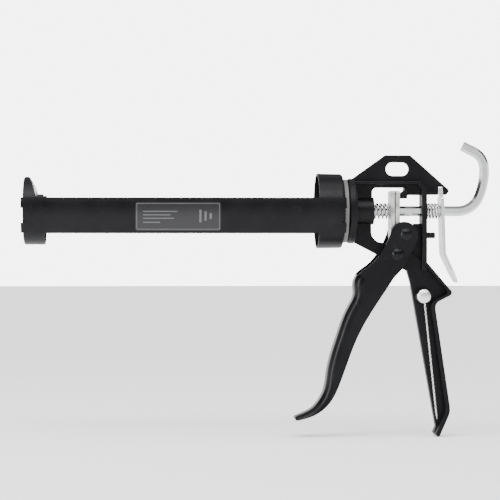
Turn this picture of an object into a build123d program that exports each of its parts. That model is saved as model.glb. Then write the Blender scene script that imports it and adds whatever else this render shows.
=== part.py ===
# Skeleton caulking gun with a revolving two-strap cradle. Millimetres, +Z up.
# The finished pieces are drawing_scale times the size drawn here, so every length below is multiplied by it.
# Each piece is drawn about the push rod's axis, which is X: the muzzle points to -X, the hook to +X,
# and the near side of the gun is -Y. X is 0 just behind the body's front flange. All pieces are moved
# together at the end, so that the origin is at the middle of the bounding box's underside.
from build123d import *
import os
from math import cos, radians, sin

drawing_scale = 1.03        # brings the cup's inside to 49 mm, the width of a standard cartridge

# Push rod and piston
rod_flats = 6.45            # hexagonal bar, across its flats
rod_corner = rod_flats / 3 ** 0.5
rod_bore = rod_corner + 0.25
rod_bend_x = 80.9           # where the straight part ends and the hook begins
hook_bends = [(17.0, 66), (50.0, 26), (14.0, 62)]   # radius and turn of each bend, in degrees
hook_tip_length = 9.5
piston_radius = 22.0
piston_lip_x = -237.5       # front of the piston's rim, with the rod fully forward
piston_back_x = -229.3      # back of the dish's flat centre
disc_thickness = 1.4
dish_profile = ((-235.1, 22.0), (-234.3, 21.1), (-232.9, 18.2), (-231.5, 14.4), (-229.9, 11.4))
piston_washer_thickness = 1.5
stud_radius = 2.9           # the rod's end, turned down and threaded
piston_nut_flats = 10.0
piston_nut_height = 4.0

# Cradle: cap, straps and collar
cap_front_x = -240.6
cap_depth = 15.3
cap_radius = 25.0
cap_plate = 2.0
cap_wall = 1.15
cap_slope = ((3.4, 25.3), (5.6, 21.2), (7.1, 18.3), (8.4, 14.3), (9.7, 10.4))   # behind the front, height
cap_rim_bump = (11.2, 11.5)     # where the raised rim begins behind the front, and its height
nozzle_radius = 9.75
collar_front_x = -24.6
collar_back_x = -6.0
collar_front_radius = 27.75
collar_back_radius = 27.45
collar_wall = 1.2
collar_back_plate = 1.5
strap_thickness = 1.3
strap_top = 9.2
strap_bottom = -16.4
strap_overhang = 1.2        # how far the strap's tongues pass the cap and the collar
strap_notch_depth = 2.8
strap_notch = (-9.2, 1.5)   # heights between which the end of a strap is notched
label_span = (-158.9, -96.8)
label_heights = (-14.9, 5.9)
label_thickness = 0.2

# Swivel between cradle and body
spigot_radius = 9.0
spigot_end_x = -15.0
swivel_clearance = 0.05
washer_radius = 23.4
washer_span = (-5.7, -2.5)
swivel_nut_flats = 27.0
swivel_nut_span = (-13.4, -7.8)

# Body casting
flange_radius = 24.05
flange_span = (-2.3, 3.7)
web_half = 2.2
rib_half = 8.5
boss_radius = 10.0
boss_end_x = 17.5
spring_seat_radius = 6.6
spring_seat_depth = 8.0
rear_plate = (53.0, 56.8)
rear_plate_bottom = -44.0
rib_heights = (19.8, 22.0)
hang_slot_centre = (35.3, 31.2)
hang_slot_length = 17.2
hang_slot_width = 10.0
grip_web_half = 3.8
grip_rim_half = 10.5
grip_rim_width = 3.3

# Trigger and its pins
trigger_half = 12.5
trigger_sheet = 1.5
trigger_bend = 7.0          # outer bend radius where the cheeks fold into the front wall
pivot = (34.2, -32.1)
drive_pin_centre = (40.5, -17.4)
pivot_boss_radius = 7.0
pin_radius = 2.9
pin_head_radius = 4.7
pin_head_height = 2.2
roller_radius = 4.0
head_radius = 8.8

# Drive plates and springs
plate_thickness = 3.3
rear_drive_plate_x = 33.1
plate_gap = 0.2
plate_heights = (-20.8, 14.8)
plate_half = 8.5
spring_radius = 6.0
spring_wire = 1.3
release_spring_radius = 5.9

# Release lever
lever_thickness = 2.2
lever_top = (67.9, 16.4)
lever_bend = (69.5, -32.0)
lever_tip = (79.4, -53.2)
lever_half = 9.5
tongue_half = 4.0
tongue_bottom = 10.6
lever_hole_radius = 4.4
stop_pin_radius = 2.2
stop_pin_z = -18.0
stop_pin_end_x = 63.7

# Piercing wire
rivet_centre = (53.9, -63.1)
wire_radius = 1.0
wire_end = (63.5, -153.8)
wire_y = -(grip_rim_half + 0.3 + wire_radius)
eye_radius = 5.3
rivet_shank = 2.85
rivet_head = 4.75


def outline(*corners):
    """Face in the XZ plane with its corners at these (x, z) points."""
    return make_face(Polyline(*corners, close=True))


def round_corners(face, radius, *near):
    """The face with each corner that lies near one of the (x, z) points rounded."""
    picked = [v for v in face.vertices() if any((v.center() - Vector(x, z)).length < 0.6 for x, z in near)]
    return fillet(picked, radius)


def slab(face, half, edge_radius=0.0):
    """The XZ face given a thickness of twice half about Y = 0, its two rims rounded."""
    solid = extrude(Plane.XZ * face, half, both=True)
    if edge_radius:
        rims = [e for e in solid.edges() if abs(abs(e.center().Y) - half) < 1e-3]
        solid = fillet(rims, edge_radius)
    return solid


def along_x(radius, x_from, x_to, y=0.0, z=0.0):
    base = (Align.CENTER, Align.CENTER, Align.MIN)
    return Pos(x_from, y, z) * Rot(0, 90, 0) * Cylinder(radius, x_to - x_from, align=base)


def along_y(radius, y_from, y_to, centre):
    base = (Align.CENTER, Align.CENTER, Align.MIN)
    return Pos(centre[0], y_from, centre[1]) * Rot(-90, 0, 0) * Cylinder(radius, y_to - y_from, align=base)


def block(x_span, y_span, z_span):
    low = (Align.MIN, Align.MIN, Align.MIN)
    size = (x_span[1] - x_span[0], y_span[1] - y_span[0], z_span[1] - z_span[0])
    return Pos(x_span[0], y_span[0], z_span[0]) * Box(*size, align=low)


def hexagon_along_x(flats, x_from, x_to):
    face = Plane.YZ.offset(x_from) * RegularPolygon(flats / 2, 6, major_radius=False, rotation=30)
    return extrude(face, x_to - x_from)


def turned(*profile):
    """Solid turned about X from (x, radius) points."""
    return revolve(Plane.XZ * outline(*profile), Axis.X)


def dome(radius, height, centre, y_base, side):
    """Domed rivet head on a face at y_base, pointing to +Y or -Y."""
    ball = (radius ** 2 + height ** 2) / (2 * height)
    head = Pos(centre[0], y_base + side * (height - ball), centre[1]) * Sphere(ball)
    y_span = sorted((y_base, y_base + side * (height + 1)))
    reach = radius + 1
    keep = block((centre[0] - reach, centre[0] + reach), y_span, (centre[1] - reach, centre[1] + reach))
    return head & keep


# ---- push rod -------------------------------------------------------------------------------------

def hook_path():
    """Centre line of the rod: straight, then three tangent bends and a straight tip."""
    rod_front_x = piston_back_x + piston_washer_thickness
    x, z, heading = rod_bend_x, 0.0, 0.0
    parts = [Line((rod_front_x, 0, 0), (x, 0, z))]
    for radius, turn in hook_bends:
        centre = Vector(x - radius * sin(radians(heading)), 0, z + radius * cos(radians(heading)))

        def at(angle):
            return centre + Vector(radius * sin(radians(angle)), 0, -radius * cos(radians(angle)))

        parts.append(ThreePointArc(at(heading), at(heading + turn / 2), at(heading + turn)))
        heading += turn
        x, z = at(heading).X, at(heading).Z
    tip = Vector(cos(radians(heading)), 0, sin(radians(heading))) * hook_tip_length
    parts.append(Line((x, 0, z), (x + tip.X, 0, z + tip.Z)))
    return Wire(parts)


def push_rod():
    path = hook_path()
    section = Plane(path @ 0, x_dir=(0, 1, 0), z_dir=(1, 0, 0)) * RegularPolygon(
        rod_flats / 2, 6, major_radius=False, rotation=30)
    nut_front_x = piston_back_x - disc_thickness - piston_nut_height
    return sweep(section, path) + along_x(stud_radius, nut_front_x - 0.6, (path @ 0).X + 0.5)


def piston_disc():
    """Dished steel disc that pushes on the base of the cartridge, its rim pointing forwards."""
    back = ((piston_lip_x, piston_radius), *dish_profile, (piston_back_x, 10.0), (piston_back_x, stud_radius))
    inside = [(x - disc_thickness, radius - 0.5) for x, radius in reversed(dish_profile[1:])]
    front_x = piston_back_x - disc_thickness
    return turned(*back, (front_x, stud_radius), (front_x, 9.6), *inside,
                  (piston_lip_x, piston_radius - disc_thickness))


def piston_washer():
    back = piston_back_x + piston_washer_thickness
    return along_x(9.0, piston_back_x, back) - along_x(stud_radius, piston_back_x - 1, back + 1)


def piston_nut():
    """Nut in the dish, which holds the disc and its washer against the rod's shoulder."""
    back = piston_back_x - disc_thickness
    front = back - piston_nut_height
    return hexagon_along_x(piston_nut_flats, front, back) - along_x(stud_radius, front - 1, back + 1)


# ---- cradle ---------------------------------------------------------------------------------------

def front_cap():
    """Round cup with a nozzle hole, cut away on a slope behind so that a cartridge can be tilted in."""
    plate_x, back_x = cap_front_x + cap_plate, cap_front_x + cap_depth
    inner = cap_radius - cap_wall
    cup = turned((cap_front_x, nozzle_radius), (cap_front_x, cap_radius), (back_x, cap_radius),
                 (back_x, inner), (plate_x, inner), (plate_x, nozzle_radius))
    rim = [e for e in cup.edges() if abs(e.center().X - cap_front_x) < 1e-3 and e.length > 100]
    cup = fillet(rim, 1.4)
    slope = [(cap_front_x + back, height) for back, height in cap_slope]
    bump_x = cap_front_x + cap_rim_bump[0]
    above = outline((slope[0][0], 30), *slope, (bump_x, slope[-1][1]), (bump_x + 0.5, cap_rim_bump[1]),
                    (back_x + 1, cap_rim_bump[1]), (back_x + 1, 30))
    return cup - slab(above, cap_radius + 1)


def strap_blank(lift, thickness, x_from, x_to):
    """Sector of a slightly conical tube that lies on the cap and on the collar."""
    slope = (collar_front_radius - cap_radius) / (collar_front_x - cap_front_x)

    def radius_at(x):
        return cap_radius + 0.06 + slope * (x - cap_front_x) + lift

    section = outline((x_from, radius_at(x_from)), (x_to, radius_at(x_to)),
                      (x_to, radius_at(x_to) + thickness), (x_from, radius_at(x_from) + thickness))
    sector = revolve(Plane.XZ * section, Axis.X, 80)
    return Rot(50, 0, 0) * sector


def strap(side):
    x_from, x_to = cap_front_x - strap_overhang, collar_back_x + strap_overhang - 0.4
    sheet = strap_blank(0, strap_thickness, x_from, x_to)
    sheet &= block((x_from - 1, x_to + 1), (-40, 0), (strap_bottom, strap_top))
    for end in ((x_from - 1, x_from + strap_notch_depth), (x_to - strap_notch_depth, x_to + 1)):
        sheet -= block(end, (-40, 0), strap_notch)
    return sheet if side < 0 else sheet.mirror(Plane.XZ)


def label_plate():
    x_from, x_to = label_span
    sheet = strap_blank(strap_thickness, label_thickness, x_from - 1, x_to + 1)
    middle = ((x_from + x_to) / 2, sum(label_heights) / 2)
    size = (x_to - x_from, label_heights[1] - label_heights[0])
    cutter = extrude(Plane.XZ * Pos(*middle) * RectangleRounded(*size, 1.8), 40)
    return sheet & cutter


def rear_collar():
    """Stamped ring with a back plate, and a round hole that turns on the body's spigot."""
    hole = spigot_radius + swivel_clearance
    front, back = collar_front_x, collar_back_x
    rim, root = collar_front_radius, collar_back_radius
    ring = turned((front, rim - collar_wall), (front, rim), (back, root), (back, hole),
                  (back - collar_back_plate, hole), (back - collar_back_plate, root - collar_wall))
    corner = [e for e in ring.edges() if abs(e.center().X - back) < 1e-3 and e.length > 150]
    return fillet(corner, 2.0)


# ---- swivel ---------------------------------------------------------------------------------------

def swivel_washer():
    ring = along_x(washer_radius, *washer_span) - along_x(spigot_radius, -7, 0)
    return fillet(ring.edges().sort_by(SortBy.LENGTH)[-2:], 0.6)


def swivel_nut():
    nut = hexagon_along_x(swivel_nut_flats, *swivel_nut_span)
    return nut - along_x(spigot_radius, swivel_nut_span[0] - 1, swivel_nut_span[1] + 1)


# ---- body -----------------------------------------------------------------------------------------

def web_face():
    face = outline((2, 24.2), (26.3, 41.5), (45.0, 41.5), (74.6, 15.3), (72.0, 12.1), (56.0, 12.1),
                   (56.0, -41.0), (38.0, -41.6), (2, -22.9))
    face = round_corners(face, 2.0, (26.3, 41.5), (45.0, 41.5))
    face = round_corners(face, 1.9, (74.6, 15.3), (72.0, 12.1))
    tail_slot = outline((65.9, 11.0), (66.2, 18.0), (69.3, 18.0), (69.8, 11.0))
    hang_slot = Pos(*hang_slot_centre) * SlotOverall(hang_slot_length, hang_slot_width)
    return face - window_face() - tail_slot - hang_slot


def window_face():
    """The opening that holds the drive plates, with the tab that they lean on at its top."""
    face = outline((16.5, 17.3), (40.3, 17.3), (40.3, 15.2), (37.0, 12.9), (37.0, 9.4), (42.3, 9.4),
                   (42.3, 11.9), (53.5, 11.9), (53.5, -9.3), (47.5, -9.3), (47.5, -23.5), (15.9, -23.5),
                   (15.9, -10.0), (16.5, -10.0))
    face = round_corners(face, 3.3, (16.5, 17.3))
    face = round_corners(face, 8.2, (15.9, -23.5))
    return round_corners(face, 0.7, (37.0, 9.4), (42.3, 9.4), (40.3, 17.3), (47.5, -23.5))


def grip_face():
    face = outline((37.5, -42.0), (45.2, -30.0), (56.8, -38.5), (76.2, -61.3), (62.0, -68.5),
                   (73.9, -148.5), (65.0, -168.4), (62.4, -164.4), (63.8, -160.2), (44.9, -53.3),
                   (42.4, -44.4))
    face = round_corners(face, 2.4, (76.2, -61.3))
    face = round_corners(face, 6.0, (62.0, -68.5))
    face = round_corners(face, 14.0, (73.9, -148.5))
    face = round_corners(face, 1.2, (65.0, -168.4), (62.4, -164.4), (63.8, -160.2))
    return round_corners(face, 4.0, (44.9, -53.3))


def grip_rim_face():
    """Strip along the grip's back edge: the palm's flange, with the thumb rest at its top."""
    strip = grip_face() - Pos(-grip_rim_width, 0.6) * grip_face()
    return strip & outline((53.0, -38.0), (90, -38.0), (90, -170), (60.0, -170), (60.0, -100), (53.0, -60))


def body_frame():
    web = slab(web_face(), web_half, 0.6)
    rib_path = outline((1.0, rib_heights[1]), (51.6, rib_heights[1]), (rear_plate[1], 16.8),
                       (rear_plate[1], rear_plate_bottom), (rear_plate[0], rear_plate_bottom),
                       (rear_plate[0], 16.0), (49.4, rib_heights[0]), (1.0, rib_heights[0]))
    rib_path = round_corners(rib_path, 1.6, (rear_plate[1], rear_plate_bottom))
    rib = slab(rib_path, rib_half, 0.7)
    grip = slab(grip_face(), grip_web_half, 0.8)
    rim = slab(grip_rim_face(), grip_rim_half)
    hanger_rib = slab(outline((52.0, 21.0), (53.2, 21.0), (53.2, 34.0), (52.0, 35.0)), web_half + 0.8)
    tail_rib = slab(outline((56.0, 16.0), (62.5, 16.0), (62.5, 17.0), (56.0, 17.0)), web_half + 0.8)
    stop_tab = slab(outline((37.0, 12.9), (37.0, 9.4), (42.3, 9.4), (42.3, 17.0), (40.3, 17.0),
                            (40.3, 15.2)), 5.5)
    flange = fillet(along_x(flange_radius, *flange_span).edges().filter_by(GeomType.CIRCLE), 1.8)
    boss = along_x(boss_radius, 0, boss_end_x)
    spigot = along_x(spigot_radius, spigot_end_x, 0)
    pivot_boss = along_y(pivot_boss_radius, -10.8, 10.8, pivot)
    rivet_boss = along_y(eye_radius + 0.3, wire_y + wire_radius + 0.1, 0, rivet_centre)
    body = web + rib + grip + rim + hanger_rib + tail_rib + stop_tab + flange + boss + spigot
    body = body + pivot_boss + rivet_boss
    body -= along_x(rod_bore, spigot_end_x - 1, rear_plate[1] + 1)
    body -= along_x(spring_seat_radius, boss_end_x - spring_seat_depth, boss_end_x + 1)
    body -= along_y(pin_radius, -20, 20, pivot)
    body -= along_y(rivet_shank, -20, 20, rivet_centre)
    return body - along_x(stop_pin_radius, rear_plate[0] - 1, rear_plate[1] + 1, z=stop_pin_z)


def lever_stop_pin():
    pin = along_x(stop_pin_radius, rear_plate[0], stop_pin_end_x, z=stop_pin_z)
    return chamfer(pin.edges().sort_by(Axis.X)[-1], 0.4)


# ---- trigger --------------------------------------------------------------------------------------

def blade_front(back=0.0, up=0.0):
    """Front edge of the trigger in side view, from its head past the finger bulge to its tip."""
    points = ((29.0, -17.0), (26.7, -22.4), (21.0, -32.5), (13.7, -40.3), (6.4, -45.9), (2.3, -53.6),
              (2.6, -60.6), (-2.4, -72.8), (-9.8, -91.8), (-17.4, -118.7), (-20.6, -134.6),
              (-27.6, -145.2), (-39.6, -151.6))
    return Spline(*[(x + back, z + up) for x, z in points], tangents=((-0.35, -0.94), (-1, -0.42)))


def blade_outline():
    """Closed side outline of the trigger, from its head round the drive pin to its curled tip."""
    tip = ThreePointArc((-39.6, -151.6), (-41.3, -153.6), (-39.2, -154.6))
    back = Spline((-39.2, -154.6), (-26.0, -150.2), (-16.2, -142.0), (-8.6, -127.6), (0.3, -103.4),
                  (13.4, -77.0), (30.8, -50.6), (38.2, -42.4), tangents=((1, 0.2), (0.7, 0.75)))
    neck = Line((38.2, -42.4), (48.2, -23.0))
    crown = ThreePointArc((48.2, -23.0), (drive_pin_centre[0] + 2.0, drive_pin_centre[1] + head_radius),
                          (29.0, -17.0))
    return make_face(Curve() + [blade_front(), tip, back, neck, crown])


def rounded_front(back, up, half, bend):
    """Deep block behind the blade's front edge, with both long corners rounded; the blade is cut from it."""
    edge = blade_front(back, up)
    start, end = edge @ 0, edge @ 1
    top, low = (start.X + 4.2, start.Y + 11.3), (end.X - 12, end.Y - 5)    # the edge run on at both ends
    run = [(low[0], -185), (80, -185), (80, top[1])]                       # clear of the blade behind it
    face = make_face(Curve() + [Line(top, start), edge, Line(end, low), Polyline(low, *run, top)])
    deep_block = extrude(Plane.XZ * face, half, both=True)
    corners = [e for e in deep_block.edges() if abs(abs(e.center().Y) - half) < 1e-3
               and e.bounding_box().max.X < 40 and e.bounding_box().size.X > 1e-3]
    return fillet(corners, bend)


def trigger():
    face = blade_outline()
    inside = trigger_half - trigger_sheet
    blank = rounded_front(0, 0, trigger_half, trigger_bend) & slab(face, trigger_half)
    above_bulge = outline((-6, -47.5), (-6, 0), (60, 0), (60, -60), (20, -60), (6.5, -47.5))
    blank += slab(face & above_bulge, trigger_half)     # the head's cheeks are flat up to their rims
    back, up = trigger_sheet + 0.2, 0.3
    inner_bend = trigger_bend - trigger_sheet
    hollow = rounded_front(back, up, inside, inner_bend) & slab(Pos(back, up) * face, inside)
    open_top = slab(above_bulge, inside)
    open_back = slab(outline((-36, -158), (-18.5, -146.4), (-11.5, -132), (-2.4, -107.4), (9.6, -80.4),
                             (26.4, -54.6), (60, -54.6), (60, -158)), inside)
    shell = blank - hollow - open_top - open_back
    shell -= along_y(pin_radius + 0.05, -20, 20, pivot)
    return shell - along_y(pin_radius, -20, 20, drive_pin_centre)


def cross_pin(centre, gap):
    """Rivet across both cheeks of the trigger, with a domed head on each side."""
    reach = trigger_half + gap
    heads = dome(pin_head_radius, pin_head_height, centre, reach, 1)
    heads += dome(pin_head_radius, pin_head_height, centre, -reach, -1)
    return along_y(pin_radius, -reach, reach, centre) + heads


def drive_roller():
    half = trigger_half - trigger_sheet - 0.2
    tube = along_y(roller_radius, -half, half, drive_pin_centre)
    return tube - along_y(pin_radius, -half - 1, half + 1, drive_pin_centre)


# ---- drive plates, springs and release lever ------------------------------------------------------

def drive_plate(x_from):
    low, high = plate_heights
    face = Pos(0, (low + high) / 2) * RectangleRounded(2 * plate_half, high - low, 1.5)
    plate = extrude(Plane.YZ.offset(x_from) * face, plate_thickness)
    return plate - along_x(rod_bore, x_from - 1, x_from + plate_thickness + 1)


def spring_sleeve(radius, x_from, x_to):
    return along_x(radius, x_from, x_to) - along_x(radius - spring_wire, x_from - 1, x_to + 1)


def release_lever():
    """Pressed plate: a narrow tongue at its top, a hole for the rod, and a thumb tab bent backwards."""
    profile = make_face(offset(FilletPolyline(lever_top, lever_bend, lever_tip, radius=9),
                               lever_thickness / 2, side=Side.BOTH, kind=Kind.INTERSECTION))
    plate = extrude(Plane.XZ * profile, lever_half, both=True)
    wide = Pos(0, (tongue_bottom - 60) / 2) * RectangleRounded(2 * lever_half, tongue_bottom + 60, 2.5)
    tab_end = Pos(0, -53.2 + lever_half) * Circle(lever_half) + Pos(0, -10) * Rectangle(2 * lever_half, 68)
    tongue = Pos(0, 15) * Rectangle(2 * tongue_half, 12)
    shape = (wide & tab_end) + tongue
    plate &= extrude(Plane.YZ.offset(60) * shape, 30)
    return plate - along_x(lever_hole_radius, 60, 80)


# ---- piercing wire --------------------------------------------------------------------------------

def pierce_wire():
    eye = along_y(eye_radius, wire_y - wire_radius, wire_y + wire_radius, rivet_centre)
    start, end = Vector(rivet_centre[0], wire_y, rivet_centre[1]), Vector(wire_end[0], wire_y, wire_end[1])
    way = (end - start).normalized()
    first = start + way * (eye_radius - 1.0)
    shaft = extrude(Plane(first, z_dir=way) * Circle(wire_radius), (end - first).length - 1.5)
    point = Plane(end - way * 1.5, z_dir=way) * Cone(
        wire_radius, 0.3, 1.5, align=(Align.CENTER, Align.CENTER, Align.MIN))
    return eye + shaft + point - along_y(rivet_shank + 0.05, -20, 0, rivet_centre)


def pierce_rivet():
    under = wire_y - wire_radius - 0.1
    head = dome(rivet_head, 1.6, rivet_centre, under, -1)
    tail = dome(rivet_head, 1.6, rivet_centre, grip_web_half, 1)
    return along_y(rivet_shank, under, grip_web_half, rivet_centre) + head + tail


# ---- assembly -------------------------------------------------------------------------------------

def build_pieces():
    front_plate_x = rear_drive_plate_x - plate_gap - plate_thickness
    seat_x = boss_end_x - spring_seat_depth
    return {
        "body_frame": body_frame(),
        "swivel_washer": swivel_washer(),
        "swivel_nut": swivel_nut(),
        "front_cap": front_cap(),
        "left_strap": strap(-1),
        "right_strap": strap(1),
        "rear_collar": rear_collar(),
        "label_plate": label_plate(),
        "push_rod": push_rod(),
        "piston_disc": piston_disc(),
        "piston_washer": piston_washer(),
        "piston_nut": piston_nut(),
        "drive_plate_front": drive_plate(front_plate_x),
        "drive_plate_rear": drive_plate(rear_drive_plate_x),
        "drive_spring": spring_sleeve(spring_radius, seat_x, front_plate_x),
        "trigger": trigger(),
        "drive_pin": cross_pin(drive_pin_centre, 0.0),
        "drive_roller": drive_roller(),
        "pivot_pin": cross_pin(pivot, 0.15),
        "release_lever": release_lever(),
        "release_spring": spring_sleeve(release_spring_radius, rear_plate[1], lever_top[0] - 1.0),
        "lever_stop_pin": lever_stop_pin(),
        "pierce_wire": pierce_wire(),
        "pierce_rivet": pierce_rivet(),
    }


def row_origin(pieces):
    """The point that becomes the origin: the middle of the bounding box's underside."""
    box = Compound(children=[Compound(piece.solids()) for piece in pieces.values()]).bounding_box()
    return Vector((box.min.X + box.max.X) / 2, (box.min.Y + box.max.Y) / 2, box.min.Z)


if __name__ == "__main__":
    os.makedirs("parts", exist_ok=True)
    pieces = build_pieces()
    origin = row_origin(pieces)
    print("origin in the drawing's frame:", origin)
    for name, piece in pieces.items():
        full_size = scale(piece, by=drawing_scale)
        export_step(Pos(*(-origin * drawing_scale)) * full_size, f"parts/{name}.step")
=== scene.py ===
import math
import bpy
from mathutils import Matrix, Vector


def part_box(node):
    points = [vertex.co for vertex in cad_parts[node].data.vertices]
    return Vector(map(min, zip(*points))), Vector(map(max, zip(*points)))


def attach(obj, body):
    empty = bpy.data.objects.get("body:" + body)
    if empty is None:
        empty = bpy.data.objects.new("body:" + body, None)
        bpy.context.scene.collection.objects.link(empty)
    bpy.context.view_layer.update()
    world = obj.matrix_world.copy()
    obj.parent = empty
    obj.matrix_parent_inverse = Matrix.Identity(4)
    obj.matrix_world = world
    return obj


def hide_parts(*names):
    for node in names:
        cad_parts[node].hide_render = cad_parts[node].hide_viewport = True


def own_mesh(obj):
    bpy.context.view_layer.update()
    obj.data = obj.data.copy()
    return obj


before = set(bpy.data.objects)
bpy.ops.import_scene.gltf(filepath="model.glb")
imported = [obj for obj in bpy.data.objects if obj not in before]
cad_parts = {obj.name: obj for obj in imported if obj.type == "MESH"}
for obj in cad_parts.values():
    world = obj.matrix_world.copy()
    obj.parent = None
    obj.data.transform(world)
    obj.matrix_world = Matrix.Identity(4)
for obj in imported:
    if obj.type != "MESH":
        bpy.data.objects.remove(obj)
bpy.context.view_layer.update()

bpy.ops.object.select_all(action="DESELECT")
mm = 0.001
rodZ = sum(corner[2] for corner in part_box("swivel_nut")) / 2   # height of the rod's axis
print("frame loaded, rod axis at", round(rodZ, 4))


# a socket that can be added and multiplied like a number
class Wire:
    def __init__(self, net, socket):
        self.net, self.socket = net, socket

    def mathWith(self, operation, a, b):
        return self.net.make("ShaderNodeMath", {"operation": operation}, {0: a, 1: b}).out(0)

    def __add__(self, other):
        return self.mathWith("ADD", self, other)

    def __sub__(self, other):
        return self.mathWith("SUBTRACT", self, other)

    def __rsub__(self, other):
        return self.mathWith("SUBTRACT", other, self)

    def __mul__(self, other):
        return self.mathWith("MULTIPLY", self, other)

    __radd__ = __add__
    __rmul__ = __mul__

    def above(self, edge):
        return self.mathWith("GREATER_THAN", self, edge)

    def size(self):
        return self.mathWith("ABSOLUTE", self, 0.0)

    def ramp(self, low, high, toLow=0.0, toHigh=1.0):
        return self.net.make("ShaderNodeMapRange", {"interpolation_type": "SMOOTHSTEP"},
                             {0: self, 1: low, 2: high, 3: toLow, 4: toHigh}).out(0)


class Made:
    def __init__(self, net, node):
        self.net, self.node = net, node

    def out(self, name):
        return Wire(self.net, self.node.outputs[name])


class Net:
    def __init__(self, name, world=False):
        self.material = (bpy.data.worlds if world else bpy.data.materials).new(name)
        self.material.use_nodes = True
        self.tree = self.material.node_tree
        self.shader = self.tree.nodes["Background" if world else "Principled BSDF"]
        self.place = self.make("ShaderNodeTexCoord").out("Generated" if world else "Object")
        split = self.make("ShaderNodeSeparateXYZ", {}, {0: self.place})
        self.x, self.y, self.z = split.out(0), split.out(1), split.out(2)

    def feed(self, socket, value):
        if isinstance(value, Wire):
            self.tree.links.new(value.socket, socket)
        else:
            socket.default_value = value

    def make(self, kind, settings=None, inputs=None):
        node = self.tree.nodes.new(kind)
        for name, value in (settings or {}).items():
            setattr(node, name, value)
        for name, value in (inputs or {}).items():
            self.feed(node.inputs[name], value)
        return Made(self, node)

    def stretched(self, x, y, z):
        return self.make("ShaderNodeMapping", {}, {"Vector": self.place, "Scale": (x, y, z)}).out(0)

    def noise(self, scale, detail=3.0, place=None):
        return self.make("ShaderNodeTexNoise", {}, {"Vector": place or self.place, "Scale": scale,
                                                    "Detail": detail}).out(0)

    def mix(self, factor, a, b):
        return self.make("ShaderNodeMix", {"data_type": "RGBA"}, {0: factor, 6: a, 7: b}).out(2)

    def bump(self, height, strength, distance):
        return self.make("ShaderNodeBump", {}, {"Height": height, "Strength": strength,
                                                "Distance": distance}).out(0)

    def finish(self, **sockets):
        for name, value in sockets.items():
            socket = {"color": "Base Color", "roughness": "Roughness", "metallic": "Metallic",
                      "normal": "Normal", "specular": "Specular IOR Level", "glow": "Emission Color",
                      "glowStrength": "Emission Strength"}[name]
            self.feed(self.shader.inputs[socket], value)
        return self.material


powderCoat = {"deep": (0.0030, 0.0030, 0.0039, 1), "pale": (0.0056, 0.0056, 0.0068, 1),
              "scuffed": (0.012, 0.012, 0.0135, 1), "peel": 900, "grain": 5200,
              "specular": 0.15, "bumpDepth": 0.00012}


def powderCoated(name, roughness, peelStrength=0.22):
    net = Net(name)
    cloud = net.noise(38, 4)
    peel = net.noise(powderCoat["peel"], 2)
    grain = net.noise(powderCoat["grain"], 1)
    scuff = net.noise(150, 6).ramp(0.60, 0.72)
    color = net.mix(cloud.ramp(0.35, 0.65), powderCoat["deep"], powderCoat["pale"])
    color = net.mix(scuff * 0.35, color, powderCoat["scuffed"])
    return net.finish(color=color, roughness=cloud * 0.10 + scuff * 0.08 + (roughness - 0.05),
                      specular=powderCoat["specular"],
                      normal=net.bump(peel + grain * 0.35, peelStrength, powderCoat["bumpDepth"]))


zincPlate = {"bright": (0.86, 0.87, 0.88, 1), "dull": (0.66, 0.67, 0.68, 1), "roughness": 0.15,
             "drawLines": 420, "bloom": 95, "spangle": 700.0}


def zincPlated(name, along, roughness=None):
    net = Net(name)
    draw = net.noise(zincPlate["drawLines"], 3, net.stretched(*along))
    bloom = net.noise(zincPlate["bloom"], 5).ramp(0.40, 0.66)
    spangle = net.make("ShaderNodeTexVoronoi", {}, {"Vector": net.place,
                                                    "Scale": zincPlate["spangle"]}).out("Distance")
    color = net.mix(bloom * 0.6 + draw * 0.25, zincPlate["bright"], zincPlate["dull"])
    rough = (roughness or zincPlate["roughness"]) - 0.06
    return net.finish(color=color, metallic=1.0,
                      roughness=draw * 0.10 + bloom * 0.07 + spangle * 0.04 + rough,
                      normal=net.bump(draw + spangle * 0.4, 0.16, 0.00010))


# the last colour and its two band widths paint shade along the joint between the two drive plates
shearedEdge = {"bright": (0.86, 0.86, 0.85, 1), "torn": (0.34, 0.335, 0.325, 1),
               "pit": (0.10, 0.095, 0.09, 1), "jointShade": (0.09, 0.088, 0.085, 1),
               "jointShadeFrom": 0.25 * mm, "jointShadeTo": 0.75 * mm}


def shearedZinc(name):
    net = Net(name)
    tear = net.noise(900, 5, net.stretched(0.25, 1.0, 0.12))
    pits = net.noise(1300, 3).ramp(0.55, 0.75)
    color = net.mix(tear.ramp(0.35, 0.7), shearedEdge["bright"], shearedEdge["torn"])
    color = net.mix(pits * 0.75, color, shearedEdge["pit"])
    joint = (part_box("drive_plate_front")[1][0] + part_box("drive_plate_rear")[0][0]) / 2
    fromJoint = (net.x - joint).size()
    paintedJointShade = 1 - fromJoint.ramp(shearedEdge["jointShadeFrom"], shearedEdge["jointShadeTo"])   # painted shade: darker in a thin band along the joint between the two plates
    color = net.mix(paintedJointShade * 0.85, color, shearedEdge["jointShade"])
    return net.finish(color=color, metallic=1.0, roughness=tear * 0.25 + pits * 0.2 + 0.20,
                      normal=net.bump(tear - pits * 0.6, 0.5, 0.00025))


springWire = {"bright": (0.66, 0.66, 0.655, 1), "soot": (0.27, 0.265, 0.26, 1)}


def drawnWire(name):
    net = Net(name)
    draw = net.noise(1500, 3)
    soot = net.noise(160, 5).ramp(0.5, 0.72)
    color = net.mix(soot * 0.7, springWire["bright"], springWire["soot"])
    return net.finish(color=color, metallic=1.0, roughness=draw * 0.08 + soot * 0.10 + 0.10,
                      normal=net.bump(draw, 0.12, 0.00008))


nylonRing = {"dark": (0.13, 0.128, 0.125, 1), "light": (0.17, 0.168, 0.163, 1),
             "grease": (0.07, 0.068, 0.066, 1)}


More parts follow.
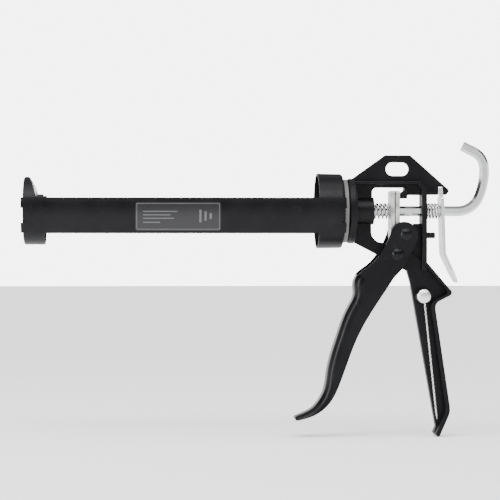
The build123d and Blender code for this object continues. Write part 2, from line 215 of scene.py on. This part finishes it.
def nylonMoulded(name):
    net = Net(name)
    cloud = net.noise(60, 5)
    ring = net.noise(2600, 2)
    grease = net.noise(210, 4).ramp(0.56, 0.75)
    color = net.mix(cloud, nylonRing["dark"], nylonRing["light"])
    color = net.mix(grease * 0.5, color, nylonRing["grease"])
    return net.finish(color=color, roughness=0.62 - grease * 0.2, normal=net.bump(ring, 0.15, 0.0001))


label = {"border": 0.9 * mm, "line": 0.45 * mm, "field": (0.010, 0.010, 0.012, 1),
         "ink": (0.11, 0.11, 0.115, 1), "worn": (0.015, 0.015, 0.017, 1)}


def printedLabel(name):
    net = Net(name)
    low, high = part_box("label_plate")
    middleX, middleZ = (low[0] + high[0]) / 2, (low[2] + high[2]) / 2
    halfX, halfZ = (high[0] - low[0]) / 2, (high[2] - low[2]) / 2
    x, z = net.x - middleX, net.z - middleZ

    def bar(cx, cz, width, height):
        inX = 1 - (x - cx * halfX).size().above(width * halfX)
        return inX * (1 - (z - cz * halfZ).size().above(height * halfZ))

    edge = 1 - bar(0, 0, 1 - label["border"] / halfX, 1 - label["border"] / halfZ)
    inset = label["border"] + label["line"]
    inner = bar(0, 0, 1 - inset / halfX, 1 - inset / halfZ)
    outline = (1 - inner) * (1 - edge)
    marks = bar(-0.42, 0.34, 0.40, 0.035) + bar(-0.50, 0.10, 0.32, 0.035) + bar(-0.46, -0.14, 0.36, 0.035)
    marks = marks + bar(-0.62, -0.42, 0.20, 0.035) + bar(0.52, 0.02, 0.025, 0.44)
    marks = marks + bar(0.64, 0.02, 0.025, 0.32) + bar(0.76, 0.02, 0.025, 0.20)
    wear = net.noise(420, 5)
    color = net.mix(wear * 0.5, label["field"], label["worn"])
    color = net.mix((outline + marks) * (0.72 + wear * 0.3), color, label["ink"])
    return net.finish(color=color, roughness=wear * 0.14 + 0.30, specular=0.45,
                      normal=net.bump(net.noise(1500, 2), 0.05, 0.00008))


finishes = {
    "body": powderCoated("castPowderCoat", 0.42, 0.34),
    "sheet": powderCoated("sheetPowderCoat", 0.36),
    "trigger": powderCoated("triggerPowderCoat", 0.30),
    "rivet": powderCoated("rivetBlack", 0.24, 0.08),
    "rod": zincPlated("zincRod", (0.04, 1.0, 1.0)),
    "plate": zincPlated("zincSheet", (1.0, 1.0, 0.08), 0.20),
    "sheared": shearedZinc("shearedPlate"),
    "wire": drawnWire("drawnWire"),
    "button": zincPlated("zincButton", (1.0, 1.0, 1.0), 0.42),
    "nylon": nylonMoulded("nylonRing"),
    "label": printedLabel("printedLabel"),
}
worn = {
    "body": ["body_frame"],
    "sheet": ["front_cap", "left_strap", "right_strap", "rear_collar", "lever_stop_pin"],
    "trigger": ["trigger"],
    "rivet": ["drive_pin", "pivot_pin"],
    "rod": ["push_rod", "swivel_nut", "drive_roller", "piston_nut", "piston_washer"],
    "button": ["pierce_rivet"],
    "plate": ["piston_disc", "release_lever"],
    "sheared": ["drive_plate_front", "drive_plate_rear"],
    "nylon": ["swivel_washer"],
    "label": ["label_plate"],
}


def dress(thing, material):
    if not thing.material_slots:
        thing.data.materials.append(material)
    for slot in thing.material_slots:
        slot.material = material


for finishName, nodes in worn.items():
    for node in nodes:
        dress(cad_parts[node], finishes[finishName])
print("finishes on", sum(len(nodes) for nodes in worn.values()), "nodes")


def active():
    return bpy.context.view_layer.objects.active


def startPiece(name):
    piece = active()
    piece.name = piece.data.name = name
    return piece


def addModifier(piece, kind, **settings):
    modifier = piece.modifiers.new(kind.lower(), kind)
    for key, value in settings.items():
        setattr(modifier, key, value)
    bpy.ops.object.modifier_apply(modifier=modifier.name)


def selectFaces(piece, test):
    bpy.ops.mesh.select_all(action="DESELECT")
    bpy.ops.object.mode_set(mode="OBJECT")
    for face in piece.data.polygons:
        face.select = test(face)
    bpy.ops.object.mode_set(mode="EDIT")


def closeAndTidy(piece, angle=40):
    bpy.ops.object.mode_set(mode="EDIT")
    bpy.ops.mesh.select_all(action="SELECT")
    bpy.ops.mesh.remove_doubles(threshold=1e-6)
    bpy.ops.mesh.fill_holes(sides=0)
    bpy.ops.mesh.select_all(action="SELECT")
    bpy.ops.mesh.normals_make_consistent(inside=False)
    bpy.ops.object.mode_set(mode="OBJECT")
    bpy.ops.object.shade_smooth_by_angle(angle=math.radians(angle))


def settle(piece, material, body):
    bpy.ops.object.transform_apply(location=True, rotation=True, scale=True)
    dress(piece, finishes[material])
    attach(piece, body)
    bpy.ops.object.select_all(action="DESELECT")


driveCoil = {"node": "drive_spring", "wire": 1.3 * mm, "turns": 7.5, "dead": 0.9, "keep": 0.62, "sides": 12}
releaseCoil = {"node": "release_spring", "wire": 1.2 * mm, "turns": 4.5, "dead": 0.7, "keep": 0.8,
               "sides": 12}


def coilSpring(name, coil):
    low, high = (Vector(corner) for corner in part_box(coil["node"]))
    wire = coil["wire"] / 2
    reach = (high.z - low.z) / 2 - wire
    length = high.x - low.x - 2 * wire
    bpy.ops.mesh.primitive_circle_add(vertices=coil["sides"], radius=wire, location=(0, 0, reach),
                                      rotation=(math.pi / 2, 0, 0))
    piece = startPiece(name)
    bpy.ops.object.transform_apply(location=True, rotation=True, scale=True)
    steps = int(coil["turns"] * 36)
    addModifier(piece, "SCREW", axis="X", angle=coil["turns"] * 2 * math.pi, screw_offset=length,
                steps=steps, render_steps=steps, iterations=1, use_normal_calculate=True)
    slow = coil["dead"] / coil["turns"]     # the end coils lie closed, the others share the rest
    closed = 1.02 * coil["wire"] * coil["dead"] / length
    for vertex in piece.data.vertices:
        t = min(max(vertex.co.x / length, 0.0), 1.0)
        over = vertex.co.x - t * length
        if t < slow:
            u = t * closed / slow
        elif t > 1 - slow:
            u = 1 - (1 - t) * closed / slow
        else:
            u = closed + (t - slow) * (1 - 2 * closed) / (1 - 2 * slow)
        vertex.co.x = u * length + over
    closeAndTidy(piece, 60)
    piece.location = (low.x + wire, 0, rodZ)
    settle(piece, "wire", "frame")
    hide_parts(coil["node"])
    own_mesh(piece)
    print(name, "coils", coil["turns"])


coilSpring("driveSpringCoil", driveCoil)
coilSpring("releaseSpringCoil", releaseCoil)


# a flattened wire, twisted, with an eye bent round the rivet
pierce = {"wire": 0.85 * mm, "flat": 0.74, "twists": 15, "eye": 4.5 * mm, "point": 5 * mm, "slices": 180}


def piercingWire():
    low, high = (Vector(corner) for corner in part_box("pierce_wire"))
    rivetLow, rivetHigh = (Vector(corner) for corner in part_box("pierce_rivet"))
    centre = Vector(((rivetLow.x + rivetHigh.x) / 2, (low.y + high.y) / 2, (rivetLow.z + rivetHigh.z) / 2))
    tip = Vector((high.x - pierce["wire"], centre.y, low.z))
    way = (tip - centre).normalized()
    start = centre + way * (pierce["eye"] + 0.2 * mm)
    length = (tip - start).length
    bpy.ops.mesh.primitive_cylinder_add(vertices=12, radius=pierce["wire"], depth=length,
                                        end_fill_type="NGON")
    shaft = startPiece("piercingWire")
    shaft.scale = (1, pierce["flat"], 1)
    bpy.ops.object.transform_apply(scale=True)
    bpy.ops.object.mode_set(mode="EDIT")
    for step in range(1, pierce["slices"]):
        bpy.ops.mesh.select_all(action="SELECT")
        cutZ = -length / 2 + length * step / pierce["slices"]
        bpy.ops.mesh.bisect(plane_co=(0, 0, cutZ), plane_no=(0, 0, 1))
    bpy.ops.object.mode_set(mode="OBJECT")
    addModifier(shaft, "SIMPLE_DEFORM", deform_method="TWIST", deform_axis="Z",
                angle=pierce["twists"] * 2 * math.pi)
    for vertex in shaft.data.vertices:      # the far end tapers to a point
        left = vertex.co.z + length / 2
        if left < pierce["point"]:
            thin = 0.18 + 0.82 * left / pierce["point"]
            vertex.co.x *= thin
            vertex.co.y *= thin
    turn = Vector((0, 0, -1)).rotation_difference(way).to_matrix().to_4x4()
    shaft.data.transform(Matrix.Translation((start + tip) / 2) @ turn)
    bpy.ops.mesh.primitive_torus_add(major_radius=pierce["eye"], minor_radius=pierce["wire"],
                                     major_segments=48, minor_segments=12, location=centre,
                                     rotation=(math.pi / 2, 0, 0))
    eye = active()
    bpy.ops.object.transform_apply(location=True, rotation=True, scale=True)
    shaft.select_set(True)
    eye.select_set(True)
    bpy.context.view_layer.objects.active = shaft
    bpy.ops.object.join()
    closeAndTidy(shaft, 50)
    settle(shaft, "wire", "pierce_wire")
    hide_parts("pierce_wire")
    print("piercing wire", round(length, 4))


piercingWire()


# spot welds at the ends of the straps
weld = {"radius": 1.35 * mm, "rise": 0.16 * mm, "pit": 0.7, "proud": 1.40 * mm,
        # each is its distance in from the strap's end, and its height above the rod
        "front": [(7.7, 2.9), (3.1, 0.7), (8.0, -11.6), (2.6, -10.0)],
        "rear": [(7.1, 1.4), (2.0, -0.7), (7.1, -12.3), (2.0, -12.3)]}


def strapRadius(x):
    low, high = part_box("front_cap")
    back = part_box("rear_collar")
    capRadius, collarRadius = (high[2] - low[2]) / 2, (back[1][2] - back[0][2]) / 2
    share = (x - low[0]) / (back[0][0] - low[0])
    return capRadius + (collarRadius - capRadius) * share + weld["proud"]


def spotWeld():
    bpy.ops.mesh.primitive_cylinder_add(vertices=20, radius=weld["radius"], depth=weld["rise"] * 2)
    piece = startPiece("spotWeld")
    bpy.ops.object.mode_set(mode="EDIT")
    selectFaces(piece, lambda face: face.normal.z > 0.9)
    bpy.ops.mesh.inset(thickness=weld["radius"] * 0.28, depth=0)
    bpy.ops.mesh.inset(thickness=weld["radius"] * 0.16, depth=-weld["rise"] * weld["pit"])
    bpy.ops.mesh.inset(thickness=weld["radius"] * 0.22, depth=-weld["rise"] * 0.1)
    bpy.ops.object.mode_set(mode="OBJECT")
    addModifier(piece, "BEVEL", width=0.05 * mm, segments=2, limit_method="ANGLE")
    return piece


def spotWelds():
    pattern = spotWeld()
    strapLow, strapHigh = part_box("left_strap")
    places = [(strapLow[0] + x * mm, z * mm) for x, z in weld["front"]]
    places += [(strapHigh[0] - x * mm, z * mm) for x, z in weld["rear"]]
    copies = []
    for side in (-1, 1):
        for x, z in places:
            radius = strapRadius(x)
            out = Vector((0, side * math.sqrt(radius ** 2 - z ** 2), z))
            copy = pattern.copy()
            copy.data = pattern.data.copy()
            bpy.context.collection.objects.link(copy)
            turn = Vector((0, 0, 1)).rotation_difference(out.normalized()).to_matrix().to_4x4()
            copy.data.transform(Matrix.Translation((x, out.y, rodZ + out.z)) @ turn)
            copies.append(copy)
    bpy.data.objects.remove(pattern)
    bpy.ops.object.select_all(action="DESELECT")
    for copy in copies:
        copy.select_set(True)
    bpy.context.view_layer.objects.active = copies[0]
    bpy.ops.object.join()
    welds = startPiece("strapWelds")
    closeAndTidy(welds, 35)
    settle(welds, "sheet", "cradle")
    print("spot welds", len(copies))


spotWelds()


studio = {"lens": 134.7, "eye": (-81.0, -1426.6, 142.3), "yaw": -3.02, "floorSize": 12, "floorGlow": 0.7,
          "paleGrey": (0.86, 0.86, 0.86, 1), "paleWhite": (0.90, 0.90, 0.90, 1)}


def areaLight(name, place, target, size, power):
    bpy.ops.object.light_add(type="AREA", location=place)
    light = active()
    light.name = name
    light.data.shape = "RECTANGLE"
    light.data.size, light.data.size_y = size
    light.data.energy = power
    light.rotation_euler = (Vector(target) - Vector(place)).to_track_quat("-Z", "Y").to_euler()


surround = {"seen": 6.0, "front": 1.15, "back": 2.0, "flag": 0.04, "softbox": 3.2, "rafters": 0.35}


def softStudio():
    net = Net("softStudio", world=True)
    bpy.context.scene.world = net.material
    level = net.z.size()
    # dark bands that draw lines on bright metal
    flags = level.ramp(0.16, 0.24) * (1 - level.ramp(0.56, 0.66))
    overhead = net.z.ramp(0.58, 0.70)
    behind = net.y.ramp(-0.05, 0.30)
    side = net.y.ramp(-0.4, 0.6, surround["front"], surround["back"])
    top = overhead * (behind * surround["rafters"] + (1 - behind) * surround["softbox"])
    light = side * (1 - flags) * (1 - overhead) + flags * surround["flag"] + top
    seen = net.make("ShaderNodeLightPath").out("Is Camera Ray")
    net.feed(net.shader.inputs["Strength"], seen * surround["seen"] + (1 - seen) * light)
    net.feed(net.shader.inputs["Color"], (1, 1, 1, 1))


def buildStudio():
    bpy.ops.mesh.primitive_plane_add(size=studio["floorSize"], location=(0, 0, -0.0005))
    floor = startPiece("floor")
    net = Net("paleFloor")
    tone = net.noise(3, 2)
    floor.data.materials.append(net.finish(color=net.mix(tone, studio["paleGrey"], studio["paleWhite"]),
                                           roughness=0.8, glow=(1, 1, 1, 1),
                                           glowStrength=studio["floorGlow"]))
    softStudio()
    areaLight("topSoftbox", (-0.15, -0.55, 1.0), (0.02, 0, 0.14), (1.0, 0.3), 6)
    areaLight("leftSoftbox", (-1.15, -0.62, 0.42), (0.05, 0, 0.10), (0.22, 0.8), 13)
    bpy.ops.object.camera_add(location=[value * mm for value in studio["eye"]],
                              rotation=(math.pi / 2, 0, math.radians(studio["yaw"])))
    camera = active()
    camera.data.lens, camera.data.sensor_width = studio["lens"], 36
    camera.data.clip_start, camera.data.clip_end = 0.05, 50
    bpy.context.scene.camera = camera
    bpy.ops.object.select_all(action="DESELECT")
    print("studio ready")


buildStudio()
